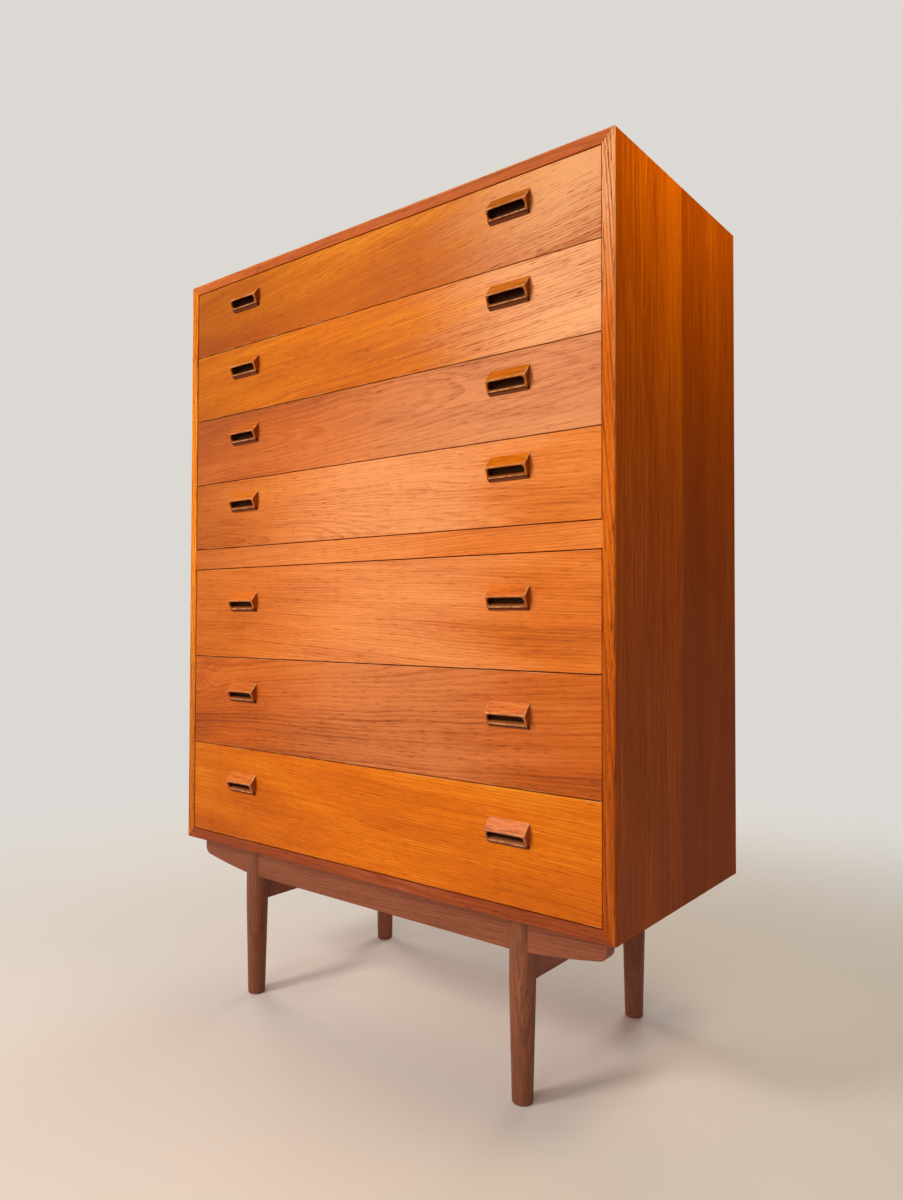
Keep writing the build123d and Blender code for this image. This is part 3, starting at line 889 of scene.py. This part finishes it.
    def painted_shadow(self, graph: Graph) -> Socket:
        """Find the painted shadow that each handle casts on a drawer front, at its right end.

        Args:
            graph: The drawer front's material.

        Returns:
            1 where it is darkest.
        """
        axes = graph.axes()
        middle = graph.math("MULTIPLY", graph.math("SIGN", axes["X"]), self.middle)
        right = graph.math("SUBTRACT", axes["X"], middle)
        past_end = graph.math("DIVIDE", graph.math("SUBTRACT", right, self.half_width), self.painted_shadow_reach)
        below_ridge = graph.math("SUBTRACT", self.top - self.ridge[1], axes["Z"])
        level = graph.math("DIVIDE", below_ridge, self.painted_shadow_height)
        left_over = graph.total(
            (1.0, 1.0), (-1.0, graph.math("MAXIMUM", past_end, 0.0)), (-1.0, graph.square(level)))
        at_end = graph.step(right, self.half_width - self.painted_shadow_reach, self.half_width)
        return graph.both(graph.step(left_over, *self.painted_shadow_fade), at_end)

    @staticmethod
    def inside(graph: Graph, out: Socket, down: Socket, upper: Line, lower: Line) -> Socket:
        """Measure how far a place lies inside the face between two lines across the handle.

        Args:
            graph: The handle's material.
            out: Distance out of the drawer front.
            down: Distance below the handle's top.
            upper: Out and down of the face's upper line.
            lower: Out and down of the face's lower line.

        Returns:
            The distance, more the deeper inside.
        """
        run = math.hypot(lower[0] - upper[0], lower[1] - upper[1])
        inward = (-(lower[1] - upper[1]) / run, (lower[0] - upper[0]) / run)
        start = inward[0] * upper[0] + inward[1] * upper[1]
        return graph.total((inward[0], out), (inward[1], down), (1.0, -start))


@dataclass
class Drawers:
    """The seven drawers: veneered fronts, carved handles and pale boxes."""

    worn_edge: Span = (1.3 * MM, 0.2 * MM)
    worn_depth: Span = (2 * MM, MM)
    worn_length: float = 45 * MM
    worn_spread: Span = (0.45, 0.70)
    worn_share: float = 0.55
    # Painted shadow beside the handles.
    painted_shadow: str = "#8A3C08"
    painted_shadow_share: float = 0.60
    left_of_middle: Span = (MM, -MM)
    left_share: float = 0.55
    # painted_sheen paints the lamps' sheen on the right ends of the upper fronts and across the middle of the
    # lower ones; painted_end_shade paints shade on their left ends.
    fronts: tuple[Timber, ...] = (
        replace(
            TEAK, pale="#E69222", body="#BE6406", pith_across=150 * MM, climb=0.05, drift=0.12,
            clouds=0.55, shade=-1.6, painted_sheen=0.66, painted_sheen_span=(0.24, 0.52), painted_end_shade=0.36, seed=0.3),
        replace(
            TEAK, pale="#F6A020", body="#D27208", pith_across=220 * MM, drift=0.06, clouds=0.55,
            shade=-0.6, pores=0.24, painted_sheen=0.76, painted_sheen_span=(0.22, 0.50), painted_end_shade=0.28, seed=1.7),
        replace(
            TEAK, pale="#DE8C48", body="#C46424", dark="#92461C", pith_across=12 * MM,
            pith_behind=36 * MM, climb=0.075, drift=0.04, ring=6 * MM, wander=14 * MM, figure=0.11,
            clouds=0.45, shade=1.2, pores=0.20, painted_sheen=0.36, painted_sheen_span=(-0.10, 0.40), painted_end_shade=0.22,
            seed=2.9),
        replace(
            MIDDLE_PAINTED_SHEEN_TEAK, pale="#F0A050", body="#DC7828", pith_across=-60 * MM,
            pith_behind=40 * MM, climb=0.05, drift=-0.02, wander=12 * MM, figure=0.12, pores=0.22,
            painted_sheen=0.40, painted_end_shade=0.40, seed=4.2),
        replace(
            MIDDLE_PAINTED_SHEEN_TEAK, pith_across=-160 * MM, drift=-0.03, pores=0.22, painted_sheen=0.26,
            painted_end_shade=0.24, seed=5.8),
        replace(
            MIDDLE_PAINTED_SHEEN_TEAK, pale="#DC7F38", body="#C4601C", dark="#8A3C12", pith_across=90 * MM,
            pith_behind=40 * MM, climb=0.05, drift=0.04, ring=6.5 * MM, wander=16 * MM, shade=-0.8,
            pores=0.25, painted_sheen=0.20, painted_end_shade=0.08, seed=6.6,
            knot=Knot(along=-425 * MM, across=27 * MM, length=60 * MM, width=30 * MM, swell=40 * MM)),
        replace(
            TEAK, pale="#F29E28", body="#D86E0A", dark="#AE500E", pith_across=300 * MM, drift=-0.03,
            clouds=0.6, shade=-0.6, pores=0.28, painted_end_shade=0.16, seed=7.4),
    )
    handle_teak: Timber = replace(
        TEAK, pale="#F0A050", dark="#8E4410", deep="#5A260A", pith_across=34 * MM, ring=3 * MM, shine=0.05)
    # Handle colours grow paler down the chest: painted sheen of light from above on the top faces.
    handle_sheen_tones: tuple[str, ...] = (
        "#BE6404", "#C86A04", "#D06E04", "#E07404", "#E87A2A", "#E88040", "#F0905C")
    handle_seed: float = 0.83

    def dress(self) -> None:
        """Dress every piece of every drawer."""
        backwards, sideways, flat = (
            self.oak(grain) for grain in (Grain.BACKWARDS, Grain.SIDEWAYS, Grain.SIDEWAYS_FLAT))
        for number, (timber, tone) in enumerate(zip(self.fronts, self.handle_sheen_tones), start=1):
            name = f"drawer_{number}"
            dress(f"{name}_front", self.front(name, timber))
            handle_teak = replace(self.handle_teak, body=tone, seed=number * self.handle_seed)
            dress(f"{name}_handles", self.handles(name, handle_teak, timber.body))
            dress(f"{name}_left_side", backwards)
            dress(f"{name}_right_side", backwards)
            dress(f"{name}_back", sideways)
            dress(f"{name}_bottom", flat)

    def front(self, name: str, timber: Timber) -> bpy.types.Material:
        """Make the finish of one drawer front, rubbed pale here and there along its edges, with a painted
        shadow beside each handle.

        Args:
            name: Name of the drawer.
            timber: Its wood.

        Returns:
            The material.
        """
        graph = Graph(f"{name}_front_teak")
        board = Board.of(f"{name}_front")
        surface = timber.lay(graph, board)
        axes = graph.axes()
        from_edge = graph.math(
            "MINIMUM",
            graph.math("SUBTRACT", board.high.z, axes["Z"]),
            graph.math("SUBTRACT", axes["Z"], board.low.z))
        place = graph.point(graph.math("DIVIDE", axes["X"], self.worn_length), timber.seed, 0.0)
        worn = graph.both(
            graph.step(from_edge, *self.worn_edge),
            graph.step(axes["Y"], *(board.low.y + depth for depth in self.worn_depth)),
            graph.step(graph.noise(place), *self.worn_spread),
            self.worn_share)
        colour = graph.mix(worn, surface.colour, linear(WORN_AND_HIGHLIT_TEAK))
        # Painted shadow of each handle, at its right end.
        shadowed = graph.both(Handle.of(name).painted_shadow(graph), self.painted_shadow_share)
        surface.colour = graph.mix(shadowed, colour, linear(self.painted_shadow))
        return timber.close(graph, surface)

    def handles(self, name: str, timber: Timber, left_tone: str) -> bpy.types.Material:
        """Make the finish of one drawer's two handles, the left one nearer to its drawer front's colour.

        Args:
            name: Name of the drawer.
            timber: Their wood.
            left_tone: Colour that the left one takes on.

        Returns:
            The material.
        """
        graph = Graph(f"{name}_handle_teak")
        surface = timber.lay(graph, Board.of(f"{name}_handles"))
        left = graph.both(graph.step(graph.axes()["X"], *self.left_of_middle), self.left_share)
        colour = graph.mix(left, surface.colour, linear(left_tone))
        surface.colour = Handle.of(name).dress(graph, colour)
        return timber.close(graph, surface)

    def oak(self, grain: Grain) -> bpy.types.Material:
        """Make the finish of the drawer boxes for one way of the grain."""
        return replace(OAK, grain=grain).bare("box_oak_" + grain.name.lower(), "drawer_1_bottom")


@dataclass
class Base:
    """The turned legs and the rails between them, each with the number that shifts its figure."""

    teak: Timber = replace(
        TEAK, pale="#B06C4A", body="#8E5036", dark="#6C3822", deep="#462214", pith_across=50 * MM,
        pith_behind=45 * MM, gloss=0.46, shine=0.2)
    leg_body: str = "#7E4A32"
    pieces: tuple[tuple[str, Grain, float], ...] = (
        ("front_rail", Grain.SIDEWAYS, 0.2),
        ("front_left_leg", Grain.UPRIGHT, 4.0),
        ("front_right_leg", Grain.UPRIGHT, 5.0),
        ("rear_rail", Grain.SIDEWAYS, 1.5),
        ("rear_left_leg", Grain.UPRIGHT, 6.1),
        ("rear_right_leg", Grain.UPRIGHT, 7.1),
        ("left_side_rail", Grain.BACKWARDS, 0.6),
        ("right_side_rail", Grain.BACKWARDS, 1.7),
    )

    def dress(self) -> None:
        """Dress the legs and rails."""
        for node, grain, seed in self.pieces:
            teak = replace(self.teak, grain=grain, seed=seed)
            if grain is Grain.UPRIGHT:
                teak = replace(teak, body=self.leg_body)
            dress(node, teak.bare(node + "_teak", node))


@dataclass
class Hardware:
    """Runner strips and screws."""

    beech: Timber = replace(
        OAK, pale="#E6C79C", body="#D4AA7C", dark="#B98A5C", deep="#94683F", figure=0.15)
    steel_patch: float = 2 * MM
    steel_tones: tuple[tuple[float, str], ...] = ((0.3, "#8F8A80"), (0.7, "#C4BEB2"))
    steel_gloss: float = 0.3
    steel_dullness: float = 0.3

    def dress(self) -> None:
        """Dress the runners and every screw."""
        dress("drawer_runners", self.beech.bare("runner_beech_wood", "drawer_runners"))
        steel = self.steel()
        for node in ("runner_screws", "base_screws", "back_panel_screws"):
            dress(node, steel)

    def steel(self) -> bpy.types.Material:
        """Make dull plated steel.

        Returns:
            The material.
        """
        graph = Graph("screw_steel_plated")
        cloud = graph.patches(self.steel_patch)
        inputs = graph.shader.inputs
        graph.feed(inputs["Base Color"], graph.ramp(cloud, *self.steel_tones))
        graph.feed(inputs["Roughness"], graph.total((1.0, self.steel_gloss), (self.steel_dullness, cloud)))
        graph.feed(inputs["Metallic"], 1.0)
        return graph.material


@dataclass(frozen=True)
class Lamp:
    """A soft square lamp: where it hangs, what it faces, its width, its power and its colour."""

    name: str
    place: Place
    aim: Place
    size: float
    watts: float
    colour: str = "#FFF6EC"

    def hang(self) -> None:
        """Hang the lamp out of the camera's sight."""
        data = bpy.data.lights.new(self.name, "AREA")
        data.size = self.size
        data.energy = self.watts
        data.color = linear(self.colour)[:3]
        lamp = bpy.data.objects.new(self.name, data)
        lamp.location = self.place
        lamp.visible_camera = False
        towards = Vector(self.aim) - Vector(self.place)
        lamp.rotation_euler = towards.to_track_quat("-Z", "Y").to_euler()
        bpy.context.scene.collection.objects.link(lamp)


@dataclass
class Studio:
    """Camera, lamps, pale floor and pale surroundings."""

    camera_at: Place = (0.9727, -1.1933, 0.6732)
    yaw: float = math.radians(38.404)
    pitch: float = math.radians(1.212)
    roll: float = math.radians(0.148)
    focal_pixels: float = 871.66
    picture_pixels: float = 1200
    film_height: float = 36.0
    nearest: float = 10 * MM
    lamps: tuple[Lamp, ...] = (
        Lamp("key", (-0.8, -2.2, 1.9), (0.25, -0.2, 1.0), 0.6, 32.0, "#FFF4E8"),
        Lamp("window", (-2.0, -2.2, 1.1), (0.0, -0.2, 0.8), 0.8, 8.0, "#FFF4E8"),
        Lamp("front", (0.55, -2.6, 0.9), (0.1, -0.2, 0.7), 1.3, 22.0),
        Lamp("side", (0.8, 0.02, 1.62), (0.45, 0.0, 1.1), 0.4, 5.0, "#FFE0AC"),
        Lamp("left", (-2.6, 0.6, 1.4), (-0.45, 0.0, 0.8), 1.2, 20.0),
        Lamp("back", (-0.5, 2.8, 1.5), (0.0, 0.2, 0.8), 1.5, 34.0),
    )
    floor_reach: float = 14.0
    floor_fade: Span = (0.8, 2.2)
    floor_tones: tuple[tuple[float, str], ...] = ((0.2, "#ECE9E4"), (0.8, "#F2EFEA"))
    floor_detail: float = 4.0
    floor_roughness: float = 0.9
    floor_shine: float = 0.1
    view_colour: str = "#DCD9D4"
    ambient_colour: str = "#F4F0EA"
    ambient: float = 0.19

    def build(self) -> None:
        """Set up everything round the chest."""
        self.camera()
        self.floor()
        self.world()
        for lamp in self.lamps:
            lamp.hang()
        bpy.context.scene.view_settings.view_transform = "Standard"

    def camera(self) -> None:
        """Place the camera where the photograph was taken from."""
        ahead = Vector((
            -math.sin(self.yaw) * math.cos(self.pitch),
            math.cos(self.yaw) * math.cos(self.pitch),
            math.sin(self.pitch)))
        right = Vector((math.cos(self.yaw), math.sin(self.yaw), 0.0))
        up = right.cross(ahead)
        turned_right = math.cos(self.roll) * right + math.sin(self.roll) * up
        turned_up = math.cos(self.roll) * up - math.sin(self.roll) * right
        data = bpy.data.cameras.new("camera")
        data.sensor_fit = "VERTICAL"
        data.sensor_height = self.film_height
        data.lens = self.focal_pixels / self.picture_pixels * self.film_height
        data.clip_start = self.nearest
        camera = bpy.data.objects.new("camera", data)
        turn = Matrix((turned_right, turned_up, -ahead)).transposed()
        camera.matrix_world = Matrix.Translation(self.camera_at) @ turn.to_4x4()
        bpy.context.scene.collection.objects.link(camera)
        bpy.context.scene.camera = camera

    def floor(self) -> None:
        """Lay the pale floor, which fades into the surroundings away from the chest."""
        mesh = bpy.data.meshes.new("floor")
        reach = self.floor_reach
        corners = [(-reach, -reach, 0), (reach, -reach, 0), (reach, reach, 0), (-reach, reach, 0)]
        mesh.from_pydata(corners, [], [(0, 1, 2, 3)])
        floor = bpy.data.objects.new("floor", mesh)
        bpy.context.scene.collection.objects.link(floor)
        mesh.materials.append(self.plaster())

    def plaster(self) -> bpy.types.Material:
        """Make the floor's finish.

        Returns:
            The material.
        """
        graph = Graph("floor_plaster")
        axes = graph.axes()
        cloud = graph.noise(graph.point(axes["X"], axes["Y"], 0.0), self.floor_detail)
        inputs = graph.shader.inputs
        graph.feed(inputs["Base Color"], graph.ramp(cloud, *self.floor_tones))
        graph.feed(inputs["Roughness"], self.floor_roughness)
        graph.feed(inputs["Specular IOR Level"], self.floor_shine)
        away = graph.math("SQRT", graph.total((1.0, graph.square(axes["X"])), (1.0, graph.square(axes["Y"]))))
        faded = graph.both(self.seen(graph.tree), graph.step(away, *self.floor_fade))
        glow = graph.add("Emission", {"Color": linear(self.view_colour), "Strength": 1.0})
        mix = graph.add("MixShader", {0: faded, 1: graph.shader.outputs[0], 2: glow.outputs[0]})
        graph.feed(graph.tree.nodes["Material Output"].inputs["Surface"], mix.outputs[0])
        return graph.material

    @staticmethod
    def seen(tree: bpy.types.NodeTree) -> Socket:
        """Tell rays that show the surroundings from rays that light the chest.

        Args:
            tree: The node tree that asks.

        Returns:
            1 for what the camera sees, straight, mirrored or through glass, and 0 otherwise.
        """
        path = tree.nodes.new("ShaderNodeLightPath")
        shown = path.outputs["Is Camera Ray"]
        for ray in ("Is Glossy Ray", "Is Transmission Ray"):
            either = tree.nodes.new("ShaderNodeMath")
            either.operation = "MAXIMUM"
            tree.links.new(shown, either.inputs[0])
            tree.links.new(path.outputs[ray], either.inputs[1])
            shown = either.outputs[0]
        return shown

    def world(self) -> None:
        """Surround the chest with weak soft light and a pale view."""
        world = bpy.data.worlds.new("studio")
        bpy.context.scene.world = world
        world.use_nodes = True
        tree = world.node_tree
        light = tree.nodes["Background"]
        light.inputs["Color"].default_value = linear(self.ambient_colour)
        light.inputs["Strength"].default_value = self.ambient
        view = tree.nodes.new("ShaderNodeBackground")
        view.inputs["Color"].default_value = linear(self.view_colour)
        mix = tree.nodes.new("ShaderNodeMixShader")
        tree.links.new(self.seen(tree), mix.inputs[0])
        tree.links.new(light.outputs[0], mix.inputs[1])
        tree.links.new(view.outputs[0], mix.inputs[2])
        tree.links.new(mix.outputs[0], tree.nodes["World Output"].inputs["Surface"])


def main() -> None:
    """Dress the chest and set up the studio."""
    logging.basicConfig(level=logging.INFO, format="%(name)s: %(message)s")
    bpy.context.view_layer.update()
    for group in (Case(), Drawers(), Base(), Hardware()):
        LOG.info("dressing %s", type(group).__name__)
        group.dress()
    Studio().build()


if __name__ == "__main__":
    main()
